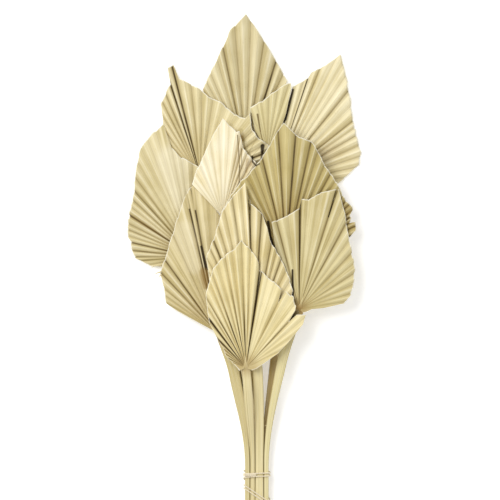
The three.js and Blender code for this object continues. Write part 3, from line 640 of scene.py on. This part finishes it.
# %% Stems
STEM_SWELL_END = 0.75
LIP_SINK = 1.3
LIP_SINK_IN = (0, 3)
LIP_SINK_OUT = (30, 10)
SECTION_SIDES = 20
SECTION_POWER = 2.7
RIB_DEPTH = 0.05
GROOVE_DEPTH = 0.12
GROOVE_WIDTH = 0.3
WIDTH_DRIFT = 0.025
DRIFT_LENGTH = 17
FAR = 60.0
STEM_PATTERN = (40, 3)


def squared(c, s, power):
    """How far out a squared circle reaches in the direction whose cosine and sine are given."""
    return (np.abs(c) ** power + np.abs(s) ** power) ** (-1 / power)


def directions(sides):
    """Angles all round a tube, in radians."""
    return np.linspace(0, 2 * math.pi, sides, endpoint=False)


def tube_faces(rings, sides):
    """The faces between the rings of a tube, and one on each of its ends."""
    ring = np.arange(rings * sides).reshape(rings, sides)
    around = np.roll(ring, -1, 1)
    between = np.stack([ring[:-1], around[:-1], around[1:], ring[1:]], -1).reshape(-1, 4)
    return between.tolist() + [ring[0][::-1].tolist(), ring[-1].tolist()]


def along_path(path):
    """How far along a line each of its points is."""
    return np.concatenate([[0], np.cumsum(np.linalg.norm(np.diff(path, axis=0), axis=1))])


def plain_numbers(count, **own):
    """The numbers of a piece without folds, far from every valley, edge and hub, with its own instead."""
    plain = dict(valley=FAR, crease=0, tone=0, edge=FAR, hub=FAR, shade=0, deep_shade=0, fold=0.5, stem=0)
    return {name: np.broadcast_to(value, count) for name, value in (plain | own).items()}


def stem_shell(leaf, rng):
    """The flat stem of one leaf."""
    stem = leaf["stem"]
    path, away = stem_path(leaf)
    past_hub = path[len(TONGUE), 1] - path[:, 1]
    way_up = (path[:, 1] - BUNDLE_START) / (path[len(TONGUE), 1] - BUNDLE_START)
    width = stem["width"] + (stem["broad"] - stem["width"]) * smoothstep(way_up, 0, STEM_SWELL_END)
    thick = np.full(len(path), STEM_THICKNESS)
    height = stem_height(leaf, path[:, 1])
    heading = np.degrees(math.atan2(-away[0], -away[1]))
    for i, (far, wide, deep, proud) in enumerate(TONGUE):
        width[i] *= wide
        thick[i] *= deep
        height[i] = blade_height(leaf, heading, far, 0) + proud - thick[i] / 2
    if leaf.get("lip"):
        sink = LIP_SINK * smoothstep(past_hub, *LIP_SINK_IN) * smoothstep(past_hub, *LIP_SINK_OUT)
        height = height - sink * (np.arange(len(path)) >= len(TONGUE))
    middle = np.column_stack([path, height])

    forward = np.gradient(middle, axis=0)
    across = unit(np.column_stack([-forward[:, 1], forward[:, 0], np.zeros(len(path))]))
    up = np.cross(unit(forward), across)
    c, s = np.cos(directions(SECTION_SIDES)), np.sin(directions(SECTION_SIDES))
    groove = GROOVE_DEPTH * np.exp(-(c / GROOVE_WIDTH) ** 2) * (s > 0)
    ribs = 1 - RIB_DEPTH * rng.random(SECTION_SIDES) - groove
    u = squared(c, s, SECTION_POWER) * c / 2
    v = squared(c, s, SECTION_POWER) * s * ribs / 2
    drift = 1 + WIDTH_DRIFT * np.sin(path[:, 1] / DRIFT_LENGTH + rng.uniform(0, 6))
    points = (middle[:, None, :]
              + across[:, None, :] * (width * drift)[:, None, None] * u[None, :, None]
              + up[:, None, :] * thick[:, None, None] * v[None, :, None]).reshape(-1, 3)
    faces = tube_faces(len(path), SECTION_SIDES)

    far_along = along_path(middle)
    grain = np.stack([
        (width[:, None] * u[None, :]).reshape(-1) + STEM_PATTERN[0],
        np.repeat(far_along, SECTION_SIDES),
        np.full(len(points), pattern_place(leaf) + STEM_PATTERN[1])], -1)
    return shell(
        points, faces, np.arange(len(faces)) >= len(faces) - 2, grain=grain, **plain_numbers(
            len(points), tone=rng.uniform(-1, 1), stem=1,
            hub=np.repeat(np.abs(far_along - far_along[len(TONGUE)]), SECTION_SIDES),
            # how far out to a side each point is, for the painted shade on the stem's sides
            shade=np.tile(np.abs(u) * 2, len(path))))


print("front stem:", len(stem_shell(LEAVES[-1], np.random.default_rng(1))["points"]), "points")

# %% [markdown]
# Threads stand off where a fold was torn or a cut frayed. Each is a thin tube that tapers to nothing,
# and belongs to the leaf that it grew on.

# %% Loose threads
THREAD_SIDES = 6
THREAD_STEPS = 22
THREAD_TAPER = 0.8
THREAD_SMOOTHINGS = 4
THREAD_PATTERN = 300.0
# for each leaf, the line of every thread in the frame of the tie, and its radius
LOOSE_THREADS = {
    "leaf_left_low": [
        ([(-106.5, 244.0, 15.6), (-110.5, 242.8, 15.2), (-114.6, 241.0, 14.8)], 0.75),
        ([(-105.6, 240.6, 15.0), (-107.6, 239.4, 14.6), (-110.0, 237.8, 14.2)], 0.6),
        ([(-113.0, 251.0, 14.8), (-115.8, 250.2, 14.4), (-119.0, 249.0, 14.0)], 0.45),
    ],
    "leaf_centre": [
        ([(17.3, 59.0, 17.8), (19.6, 59.9, 19.4), (22.4, 59.2, 18.6)], 0.3),
    ],
}


def along_line(line, shares):
    """Points at the given shares of a line's length."""
    line = np.array(line, float)
    steps = along_path(line)
    return np.column_stack([np.interp(shares * steps[-1], steps, line[:, i]) for i in range(line.shape[1])])


def thread_shell(line, radius):
    """A thin tube along a line, thinner towards its end."""
    path = along_line(line, np.linspace(0, 1, THREAD_STEPS))
    for _ in range(THREAD_SMOOTHINGS):
        path[1:-1] = (path[:-2] + 2 * path[1:-1] + path[2:]) / 4
    heading = unit(np.gradient(path, axis=0))
    across = unit(np.cross(heading, [0, 0, 1.0]) + NO_GAP)
    up = np.cross(heading, across)
    turn = directions(THREAD_SIDES)[None, :, None]
    size = radius * (1 - THREAD_TAPER * np.linspace(0, 1, THREAD_STEPS) ** 2)[:, None, None]
    points = path[:, None] + size * (across[:, None] * np.cos(turn) + up[:, None] * np.sin(turn))
    count = THREAD_STEPS * THREAD_SIDES
    faces = tube_faces(THREAD_STEPS, THREAD_SIDES)
    grain = np.column_stack([
        np.full(count, THREAD_PATTERN), np.repeat(np.arange(THREAD_STEPS), THREAD_SIDES), np.zeros(count)])
    return shell(
        points.reshape(-1, 3), faces, np.zeros(len(faces), bool), grain=grain,
        **plain_numbers(count, tone=0.5))


print("threads:", {name: len(threads) for name, threads in LOOSE_THREADS.items()})

# %% [markdown]
# Python sums can stand for shader maths. This class wraps one socket: adding or multiplying two of
# them adds a Math node, and one method makes every other node. A finish then reads like a recipe.

# %% Sockets as numbers
class Wire:
    """A shader socket that Python can reckon with."""
    tree = None

    def __init__(self, socket):
        self.socket = socket

    @classmethod
    def node(cls, kind, settings=None, inputs=None, out=0):
        """Adds a node, fills its inputs with wires or constants, and gives one of its outputs."""
        made = cls.tree.nodes.new(kind)
        for key, value in (settings or {}).items():
            setattr(made, key, value)
        for key, value in (inputs or {}).items():
            if isinstance(value, Wire):
                cls.tree.links.new(value.socket, made.inputs[key])
            else:
                made.inputs[key].default_value = value
        return cls(made.outputs[out])

    @classmethod
    def math(cls, operation, *values):
        return cls.node("ShaderNodeMath", {"operation": operation}, dict(enumerate(values)))

    @classmethod
    def vector(cls, operation, inputs, out=0):
        return cls.node("ShaderNodeVectorMath", {"operation": operation}, inputs, out)

    def __add__(self, other):
        return Wire.math("ADD", self, other)

    def __sub__(self, other):
        return Wire.math("SUBTRACT", self, other)

    def __rsub__(self, other):
        return Wire.math("SUBTRACT", other, self)

    def __mul__(self, other):
        return Wire.math("MULTIPLY", self, other)

    __radd__ = __add__
    __rmul__ = __mul__

    def rise(self, low, high):
        """The smoothstep from above, as a node."""
        settings = {"interpolation_type": "SMOOTHSTEP"}
        return Wire.node("ShaderNodeMapRange", settings, {"Value": self, "From Min": low, "From Max": high})


def number(name):
    """A number that the mesh carries at each of its points."""
    return Wire.node("ShaderNodeAttribute", {"attribute_name": name}, out=2)


def triple(name):
    """Three such numbers at once."""
    return Wire.node("ShaderNodeAttribute", {"attribute_name": name}, out=1)


def cloud(vector, scale, detail=2.0):
    """Noise around one half. A small scale draws the pattern out along its axis."""
    vector = Wire.vector("MULTIPLY", {0: vector, 1: scale})
    return Wire.node("ShaderNodeTexNoise", None, {"Vector": vector, "Scale": 1.0, "Detail": detail})


def mixed(factor, first, second):
    """The first colour at 0, the second at 1."""
    return Wire.node("ShaderNodeMix", {"data_type": "RGBA"}, {0: factor, 6: first, 7: second}, out=2)


def surface(name):
    """A new finish, to which the next wires belong, and its shader."""
    material = bpy.data.materials.new(name)
    material.use_nodes = True
    Wire.tree = material.node_tree
    return material, Wire.tree.nodes["Principled BSDF"]


def connect(shader, base, rough, height, strength, relief):
    """Leads a colour, a roughness and a relief, in metres, into a shader."""
    bump = Wire.node("ShaderNodeBump", None, {"Strength": strength, "Distance": relief, "Height": height})
    for name, wire in (("Base Color", base), ("Roughness", rough), ("Normal", bump)):
        Wire.tree.links.new(wire.socket, shader.inputs[name])


print("what a wire can do:", [name for name in vars(Wire) if not name.startswith("__")])

# %% [markdown]
# A slit's painted shadow or a bruise belongs to one leaf alone. It is a short line seen from above: vector
# maths finds the line's nearest point, and the distance to it is the mark. No image is needed, at any size.

# %% A single mark
MARK_TAPER = 0.25
MARK_CORE = 0.5


def stroke(place, start, end, half):
    """1 on the line from start to end, 0 beyond half its width, which narrows towards the end."""
    span = np.array([end[0] - start[0], end[1] - start[1], 0.0])
    from_start = Wire.vector("SUBTRACT", {0: place, 1: (*start, 0.0)})
    share = Wire.vector("DOT_PRODUCT", {0: from_start, 1: span / (span @ span)}, out=1)
    share = Wire.math("MINIMUM", Wire.math("MAXIMUM", share, 0.0), 1.0)
    nearest = Wire.vector("SCALE", {0: span, 3: share})
    gap = Wire.vector("DISTANCE", {0: from_start, 1: nearest}, out=1)
    return (gap + share * (half * MARK_TAPER)).rise(half, half * MARK_CORE)


print("marks:", sum(len(leaf.get("strokes", ())) for leaf in LEAVES))

# %% [markdown]
# The fibres follow the fan, so the patterns are stretched along the radius: broad streaks, fine veins,
# short brown specks. Each valley holds a dark line of painted shade, the hub is darker with painted shade
# where the folds crowd, and the ridges are pale from wear and a painted highlight. The cut edge is pale and
# dry, with a painted highlight. A stem is smoother, with long fibres and sides darker in painted shade.

# %% Leaf finish
# how fine each pattern is across the folds, along them, and from leaf to leaf
STREAKS = (0.9, 0.008, 1)
VEINS = (7.0, 0.02, 1)
PATCHES = (0.06, 0.025, 1)
CRESTS = (0.14, 0.012, 1)
# how the painted shade in the valleys comes and goes
UNEVEN_LINE = (0.4, 0.03, 1)
SPECKS = (1.6, 0.22, 1)
FIBRES = (1.1, 0.012, 1)
STRIPES = (3.2, 0.004, 1)
NEAR_HUB = (14.0, 60.0)
PLAIN_STALK = (214, 199, 152)
PLAIN_BROWNED = 0.35
LEAF_RELIEF = 0.0005
LEAF_SHEEN = 0.35


def leaf_finish(leaf):
    """The dried surface of one leaf, blade and stem."""
    material, shader = surface(leaf["name"] + "_dried")
    grain, place = triple("grain"), triple("place")
    valley, crease, tone, edge, hub = map(number, ("valley", "crease", "tone", "edge", "hub"))
    shade, deep_shade, fold, stem = map(number, ("shade", "deep_shade", "fold", "stem"))
    light, deep = colour(*leaf["light"]), colour(*leaf["deep"])
    stalk = colour(*leaf.get("stalk", PLAIN_STALK))

    # near the hub only the darkest creases keep their painted shade and highlight
    open_part = hub.rise(*NEAR_HUB)
    crease = crease * (open_part + crease.rise(0.65, 0.9) * (1.0 - open_part))
    if "softer" in leaf:
        crease = crease * (1.0 - hub.rise(*leaf["softer"]) * crease.rise(1.18, 1.02) * 0.6)

    # its two tones and its veins
    streaks = cloud(grain, STREAKS)
    veins = cloud(grain, VEINS)
    patches = cloud(grain, PATCHES, 4.0)
    level = (streaks - 0.5) * open_part * 1.1 + (patches - 0.5) * 1.0 + tone * 0.12 + 0.62
    blade = mixed(level.rise(0.0, 1.0), deep, light)
    blade = mixed(veins.rise(0.5, 0.75) * 0.3 * open_part, blade, OLIVE)
    blade = mixed(veins.rise(0.48, 0.28) * 0.3 * open_part, blade, PALE)

    # pale ridges, from wear and a painted highlight;
    # painted shade at the hub, where the folds crowd, and on the valley slopes
    crests = cloud(grain, CRESTS).rise(0.38, 0.64)
    blade = mixed(fold.rise(0.72, 1.0) * (crease * 0.4 + 0.05) * crests, blade, PALE)
    blade = mixed(hub.rise(60.0, 4.0) * 0.3, blade, OLIVE)
    blade = mixed(fold.rise(0.85, 0.05) * (crease * 0.62 + 0.12), blade, OLIVE)

    # painted shade: a brown line in each valley, darker in the sharpest folds
    unevenness = cloud(grain, UNEVEN_LINE).rise(0.25, 0.6) * 0.5 + 0.5
    line = (valley - crease * 0.75).rise(0.8, -0.5) * fold.rise(0.55, 0.3)
    blade = mixed(line * (crease * 0.9 + 0.05) * unevenness, blade, VALLEY_SHADE)
    blade = mixed(line * crease.rise(0.75, 1.1) * unevenness, blade, SHADOW)

    # specks, stains mixed with painted shade, the cut edge, pale from dry fibres and a painted
    # highlight, and painted shadow in the gaps between leaves
    specks = cloud(grain, SPECKS, 3.0).rise(0.68, 0.76)
    blade = mixed(specks * 0.4, blade, SPECK_BROWN)
    blade = mixed(shade, blade, STAIN_AND_SHADE)
    # the cut edge: pale dry fibres and a painted highlight
    blade = mixed(edge.rise(1.7, 0.3) * 0.75, blade, PALE)
    blade = mixed(deep_shade, blade, GAP_SHADOW)

    # the stem
    fibres = cloud(grain, FIBRES, 4.0)
    stripes = cloud(grain, STRIPES, 2.0)
    rod = mixed(fibres.rise(0.3, 0.7) * 0.5, stalk, mixed(0.45, stalk, PALE))
    rod = mixed(stripes.rise(0.5, 0.68) * 0.55, rod, OLIVE)
    # painted shade on the stem's sides
    rod = mixed(shade.rise(0.72, 1.0) * 0.4, rod, OLIVE)
    rod = mixed(hub.rise(16.0, 1.0) * leaf.get("browned", PLAIN_BROWNED), rod, STAIN_AND_SHADE)

    whole = mixed(stem, blade, rod)
    for start, end, half, strength, tone_of_mark in leaf.get("strokes", ()):
        whole = mixed(stroke(place, start, end, half) * strength, whole, tone_of_mark)

    height = (veins * 0.6 + streaks * 0.8) * open_part + stripes * stem
    connect(shader, whole, veins * 0.25 + 0.5, height, 0.5, LEAF_RELIEF)
    shader.inputs["Specular IOR Level"].default_value = LEAF_SHEEN
    return material


print("veins to a streak:", round(VEINS[0] / STREAKS[0], 1))

# %% [markdown]
# Blade, stem and threads grew as one, so each leaf becomes one mesh in place of its solid.

# %% Make the leaves
FIRST_SEED = 100


def make_piece(name, shells, material):
    """One mesh object from closed shells, with their numbers as named attributes."""
    start, points, faces, flat = 0, [], [], []
    for part in shells:
        points.append((part["points"] + SHIFT) * MM)
        faces += [[i + start for i in face] for face in part["faces"]]
        flat.append(part["flat"])
        start += len(part["points"])
    mesh = bpy.data.meshes.new(name)
    mesh.from_pydata(np.concatenate(points).tolist(), [], faces)
    mesh.polygons.foreach_set("use_smooth", ~np.concatenate(flat))
    for key in shells[0]["values"]:
        values = np.concatenate([part["values"][key] for part in shells]).astype(np.float32)
        kind, field = ("FLOAT", "value") if values.ndim == 1 else ("FLOAT_VECTOR", "vector")
        mesh.attributes.new(key, kind, "POINT").data.foreach_set(field, values.reshape(-1))
    place = np.concatenate([part["points"] * [1, 1, 0] for part in shells]).astype(np.float32)
    mesh.attributes.new("place", "FLOAT_VECTOR", "POINT").data.foreach_set("vector", place.reshape(-1))
    mesh.materials.append(material)
    piece = bpy.data.objects.new(name, mesh)
    bpy.context.scene.collection.objects.link(piece)
    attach(piece, "root")
    return piece


for order, leaf in enumerate(LEAVES):
    rng = np.random.default_rng(FIRST_SEED + order)
    shells = [blade_shell(leaf, rng), stem_shell(leaf, rng)]
    shells += [thread_shell(line, radius) for line, radius in LOOSE_THREADS.get(leaf["name"], ())]
    piece = make_piece("dried_" + leaf["name"], shells, leaf_finish(leaf))
    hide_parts(leaf["name"])
    print(piece.name, len(piece.data.polygons), "faces")

# %% [markdown]
# The tie is thin cotton twine. It takes two level turns and then goes round the cut ends at a slant. A
# short third strand, the tucked end, lies between the level turns.

# %% The line of the twine
TWINE_START = 5.2
TWINE_PITCH = 3.7
TWINE_TURNS = 4.3
TWINE_CHANGE = (1.8, 2.6)
TWINE_DROP = 17
TWINE_LEAN = 11
TWINE_FIRST_ANGLE = math.pi * 0.9
TWINE_SQUARENESS = 8
BUNDLE_HALF_WIDTH = 15.6
BUNDLE_MIDDLE_Z = 9.7
BUNDLE_HALF_DEPTH = 8.6
MAIN_STEPS = 1500
TUCKED_END = [(-7.6, 6.0), (-7.7, 14.0), (-6.4, 18.5), (-3.0, 19.1), (3.0, 19.2), (6.6, 19.0),
              (8.0, 17.4)]
TUCKED_LEVELS = (1.1, -0.2)
TUCKED_STEPS = 160


def twine_line(turns):
    """Where the twine's middle is after so many turns round the bundle."""
    angle = 2 * math.pi * turns + TWINE_FIRST_ANGLE
    c, s = np.cos(angle), np.sin(angle)
    size = squared(c, s, TWINE_SQUARENESS)
    change = smoothstep(turns, *TWINE_CHANGE)
    down = turns * TWINE_PITCH + change * TWINE_DROP + change * TWINE_LEAN * size * c
    return np.column_stack([
        BUNDLE_CENTRE_X + BUNDLE_HALF_WIDTH * size * c,
        TWINE_START - down,
        BUNDLE_MIDDLE_Z + BUNDLE_HALF_DEPTH * size * s])


main_line = twine_line(np.linspace(0, TWINE_TURNS, MAIN_STEPS))
strands = [main_line]
for level in TUCKED_LEVELS:
    strands.append(along_line([(x, level, z) for x, z in TUCKED_END], np.linspace(0, 1, TUCKED_STEPS)))
print("twine length in mm:", round(float(along_path(main_line)[-1]), 1))

# %% [markdown]
# A plain tube would look like wire. Two plies wind round each line, half a turn apart, so the strand has
# real grooves. They taper at their ends, as cut yarn does.

# %% Twine
PLY_RADIUS = 0.48
PLY_OFFSET = 0.4
PLY_LAY = 4.6
PLY_SIDES = 8
PLY_TAPER = 1.2
PLY_END = 0.15
YARN = (1.6, 2.2, 0)
YARN_PATCHES = (0, 0.12, 0)
YARN_RELIEF = 0.0002


def ply_shell(line, phase):
    """One ply of a strand: a tube that winds round the strand's middle line."""
    heading = unit(np.gradient(line, axis=0))
    out = line - [BUNDLE_CENTRE_X, 0, BUNDLE_MIDDLE_Z]
    out[:, 1] = 0
    out = unit(out - heading * (out * heading).sum(1, keepdims=True))
    beside = np.cross(heading, out)
    length = along_path(line)
    lay = 2 * math.pi * length / PLY_LAY + phase
    ends = np.clip(np.minimum(length, length[-1] - length) / PLY_TAPER, PLY_END, 1)
    middle = line + PLY_OFFSET * (
        out * np.cos(lay)[:, None] + beside * np.sin(lay)[:, None]) * ends[:, None]
    turn = directions(PLY_SIDES)[None, :, None]
    points = middle[:, None] + (PLY_RADIUS * ends)[:, None, None] * (
        out[:, None] * np.cos(turn) + beside[:, None] * np.sin(turn))
    faces = tube_faces(len(line), PLY_SIDES)
    grain = np.stack([
        np.tile(directions(PLY_SIDES), len(line)), np.repeat(length, PLY_SIDES),
        np.repeat(lay, PLY_SIDES)], -1)
    return shell(points.reshape(-1, 3), faces, np.zeros(len(faces), bool), grain=grain)


def twine_finish():
    """Matt cotton, a little darker in places."""
    material, shader = surface("cotton_twine")
    grain = triple("grain")
    yarn = cloud(grain, YARN, 3.0)
    patches = cloud(grain, YARN_PATCHES)
    base = mixed(yarn.rise(0.3, 0.7), colour(222, 206, 170), colour(250, 242, 222))
    base = mixed(patches.rise(0.5, 0.75) * 0.35, base, colour(214, 192, 148))
    connect(shader, base, yarn * 0.2 + 0.7, yarn, 0.6, YARN_RELIEF)
    return material


plies = [ply_shell(line, phase) for line in strands for phase in (0, math.pi)]
twine = make_piece("spun_twine", plies, twine_finish())
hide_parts("twine")
print("plies:", len(plies), "with", len(twine.data.polygons), "faces")

# %% [markdown]
# The picture looks straight down at the bunch on white. A long lens from almost seven metres up keeps the
# leaves free of perspective. A pale floor, an even sky and one broad lamp from the upper left give the
# pleats their light and dark sides without hard shadows.

# %% Floor, camera and light
LENS = 400
SENSOR = 36
FRAME_WIDTH = 0.6
LOOK_AT = (0.0070, 0.0188, 0.012)
WHITE = (1, 1, 1, 1)
FLOOR_HALF = 12.0
FLOOR_DROP = 0.0003
FLOOR_GLOW = 0.3
SKY = 0.55
# name, place, size and power of each lamp
LAMPS = [("key", (-1.0, 0.85, 2.2), 1.5, 42), ("fill", (1.6, -0.6, 2.2), 2.0, 8)]


def floor_finish():
    """White card with a faint haze, which glows a little so that shadows stay light."""
    material, shader = surface("pale_floor")
    place = Wire.node("ShaderNodeTexCoord", out=3)
    haze = cloud(place, (1.5, 1.5, 1.5))
    base = mixed(haze, colour(250, 250, 249), colour(253, 253, 252))
    Wire.tree.links.new(base.socket, shader.inputs["Base Color"])
    shader.inputs["Roughness"].default_value = 0.9
    shader.inputs["Emission Color"].default_value = WHITE
    shader.inputs["Emission Strength"].default_value = FLOOR_GLOW
    return material


def lamp(name, spot, size, power):
    """A round lamp at a spot, turned to the middle of the picture."""
    light = bpy.data.lights.new(name, "AREA")
    light.shape, light.size, light.energy = "DISK", size, power
    made = bpy.data.objects.new(name, light)
    made.location = spot
    toward = np.array(LOOK_AT) - np.array(spot)
    made.rotation_euler = (
        math.atan2(math.hypot(toward[0], toward[1]), -toward[2]), 0,
        math.atan2(toward[1], toward[0]) - math.pi / 2)
    bpy.context.scene.collection.objects.link(made)


floor_mesh = bpy.data.meshes.new("floor")
floor_corners = [(x * FLOOR_HALF, y * FLOOR_HALF, 0) for x, y in ((-1, -1), (1, -1), (1, 1), (-1, 1))]
floor_mesh.from_pydata(floor_corners, [], [(0, 1, 2, 3)])
floor_mesh.materials.append(floor_finish())
floor = bpy.data.objects.new("floor", floor_mesh)
floor.location.z = -FLOOR_DROP
bpy.context.scene.collection.objects.link(floor)

camera = bpy.data.objects.new("camera", bpy.data.cameras.new("camera"))
camera.data.lens, camera.data.sensor_width = LENS, SENSOR
camera.location = (LOOK_AT[0], LOOK_AT[1], LOOK_AT[2] + FRAME_WIDTH * LENS / SENSOR)
bpy.context.scene.collection.objects.link(camera)
bpy.context.scene.camera = camera

for name, spot, size, power in LAMPS:
    lamp(name, spot, size, power)
world = bpy.data.worlds.new("studio")
world.use_nodes = True
world.node_tree.nodes["Background"].inputs["Color"].default_value = WHITE
world.node_tree.nodes["Background"].inputs["Strength"].default_value = SKY
bpy.context.scene.world = world
bpy.context.scene.view_settings.view_transform = "Standard"
print("camera", [round(v, 3) for v in camera.location])

# %% [markdown]
# The finished model has to fill the same space as the solids.
